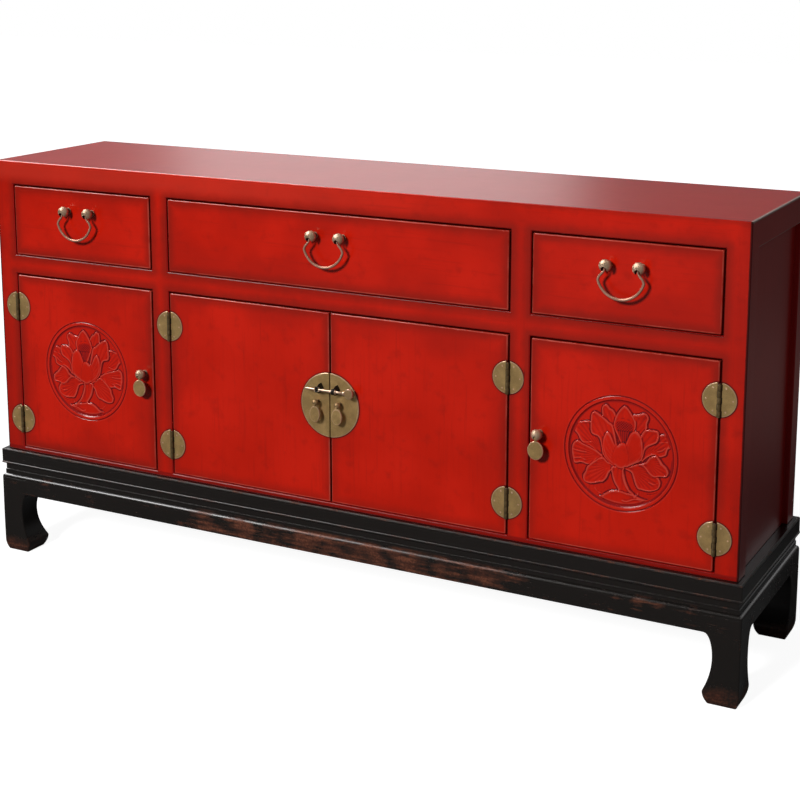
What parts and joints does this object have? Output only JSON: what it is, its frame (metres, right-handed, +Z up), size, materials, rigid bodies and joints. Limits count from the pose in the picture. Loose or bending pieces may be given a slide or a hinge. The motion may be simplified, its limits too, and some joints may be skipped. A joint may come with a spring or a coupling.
{
  "type": "entryway cabinet",
  "caption": "Long low red-lacquered sideboard on a black hoof-footed stand: drawers with bail pulls over cupboards with brass disc hinges, a lock plate and carved lotus roundels.",
  "frame": {"origin": "on the floor, at the middle of the whole outline", "axes": "+X to the right along the length, +Y to the back (the doors face -Y), +Z up"},
  "size_m": [1.624, 0.399, 0.85],
  "materials": {
    "red_lacquer": "worn red lacquer, half gloss",
    "black_lacquer": "black lacquer rubbed to red-brown wood on the edges",
    "black_back": "thin dull black stain",
    "bare_wood": "planed softwood, unfinished",
    "antique_brass": "aged brass, olive brown, rubbed bright on the edges"
  },
  "bodies": {
    "case": {"top_board": "red_lacquer", "corner_posts": "antique_brass", "front_top_rail": "red_lacquer", "front_middle_rails": "red_lacquer", "front_sill": "red_lacquer", "inner_stiles": "red_lacquer", "side_rails": "red_lacquer", "side_panels": "red_lacquer", "back_frame": "black_back", "back_panels": "black_back", "cupboard_floor": "bare_wood", "partitions": "bare_wood", "dust_boards": "bare_wood", "drawer_runners": "bare_wood", "drawer_guides": "bare_wood", "door_stops": "bare_wood", "hinge_frame_leaves": "antique_brass", "hinge_pins": "antique_brass", "stand_frame": "black_lacquer", "stand_waist": "black_lacquer", "stand_aprons": "black_lacquer", "stand_legs": "black_lacquer"},
    "left_drawer": {"left_drawer_front": "red_lacquer", "left_drawer_box": "bare_wood", "left_drawer_bottom": "bare_wood", "left_pull_posts": "antique_brass"},
    "left_bail": {"left_bail": "antique_brass"},
    "centre_drawer": {"centre_drawer_front": "red_lacquer", "centre_drawer_box": "bare_wood", "centre_drawer_bottom": "bare_wood", "centre_pull_posts": "antique_brass"},
    "centre_bail": {"centre_bail": "antique_brass"},
    "right_drawer": {"right_drawer_front": "red_lacquer", "right_drawer_box": "bare_wood", "right_drawer_bottom": "bare_wood", "right_pull_posts": "antique_brass"},
    "right_bail": {"right_bail": "antique_brass"},
    "left_door": {"left_door_panel": "red_lacquer", "left_door_battens": "bare_wood", "left_door_hinge_leaves": "antique_brass", "left_door_post": "antique_brass"},
    "left_drop": {"left_drop": "antique_brass"},
    "centre_left_door": {"centre_left_door_panel": "red_lacquer", "centre_left_door_battens": "bare_wood", "centre_left_door_hinge_leaves": "antique_brass", "left_lock_plate": "antique_brass", "left_lock_studs": "antique_brass"},
    "centre_left_drop": {"centre_left_drop": "antique_brass"},
    "centre_right_door": {"centre_right_door_panel": "red_lacquer", "centre_right_door_battens": "bare_wood", "centre_right_door_hinge_leaves": "antique_brass", "right_lock_plate": "antique_brass", "right_lock_studs": "antique_brass"},
    "centre_right_drop": {"centre_right_drop": "antique_brass"},
    "right_door": {"right_door_panel": "red_lacquer", "right_door_battens": "bare_wood", "right_door_hinge_leaves": "antique_brass", "right_door_post": "antique_brass"},
    "right_drop": {"right_drop": "antique_brass"},
    "lock_rod": {"lock_rod": "antique_brass"}
  },
  "joints": [
    {"name": "left_drawer_slide", "type": "slide", "parent": "case", "child": "left_drawer", "axis": [0, -1, 0], "range_m": [0, 0.25]},
    {"name": "left_bail_swing", "type": "hinge", "parent": "left_drawer", "child": "left_bail", "pos_m": [-0.583, -0.1935, 0.752], "axis": [-1, 0, 0], "range_deg": [0, 100]},
    {"name": "centre_drawer_slide", "type": "slide", "parent": "case", "child": "centre_drawer", "axis": [0, -1, 0], "range_m": [0, 0.25]},
    {"name": "centre_bail_swing", "type": "hinge", "parent": "centre_drawer", "child": "centre_bail", "pos_m": [0, -0.1935, 0.752], "axis": [-1, 0, 0], "range_deg": [0, 100]},
    {"name": "right_drawer_slide", "type": "slide", "parent": "case", "child": "right_drawer", "axis": [0, -1, 0], "range_m": [0, 0.25]},
    {"name": "right_bail_swing", "type": "hinge", "parent": "right_drawer", "child": "right_bail", "pos_m": [0.583, -0.1935, 0.752], "axis": [-1, 0, 0], "range_deg": [0, 100]},
    {"name": "left_door_swing", "type": "hinge", "parent": "case", "child": "left_door", "pos_m": [-0.7555, -0.1761, 0.4215], "axis": [0, 0, -1], "range_deg": [0, 105]},
    {"name": "centre_left_door_swing", "type": "hinge", "parent": "case", "child": "centre_left_door", "pos_m": [-0.3685, -0.1761, 0.4215], "axis": [0, 0, -1], "range_deg": [0, 105]},
    {"name": "centre_right_door_swing", "type": "hinge", "parent": "case", "child": "centre_right_door", "pos_m": [0.3685, -0.1761, 0.4215], "axis": [0, 0, 1], "range_deg": [0, 105]},
    {"name": "right_door_swing", "type": "hinge", "parent": "case", "child": "right_door", "pos_m": [0.7555, -0.1761, 0.4215], "axis": [0, 0, 1], "range_deg": [0, 105]},
    {"name": "left_drop_swing", "type": "hinge", "parent": "left_door", "child": "left_drop", "pos_m": [-0.432, -0.1935, 0.435], "axis": [-1, 0, 0], "range_deg": [0, 80]},
    {"name": "right_drop_swing", "type": "hinge", "parent": "right_door", "child": "right_drop", "pos_m": [0.432, -0.1935, 0.435], "axis": [-1, 0, 0], "range_deg": [0, 80]},
    {"name": "centre_left_drop_swing", "type": "hinge", "parent": "centre_left_door", "child": "centre_left_drop", "pos_m": [-0.024, -0.1894, 0.434], "axis": [-1, 0, 0], "range_deg": [0, 80]},
    {"name": "centre_right_drop_swing", "type": "hinge", "parent": "centre_right_door", "child": "centre_right_drop", "pos_m": [0.024, -0.1894, 0.434], "axis": [-1, 0, 0], "range_deg": [0, 80]},
    {"name": "lock_rod_slide", "type": "slide", "parent": "centre_right_door", "child": "lock_rod", "axis": [1, 0, 0], "range_m": [0, 0.05]}
  ],
  "couplings": [
    {"joint": "centre_left_door_swing", "follows": "centre_right_door_swing", "ratio": 1}
  ]
}
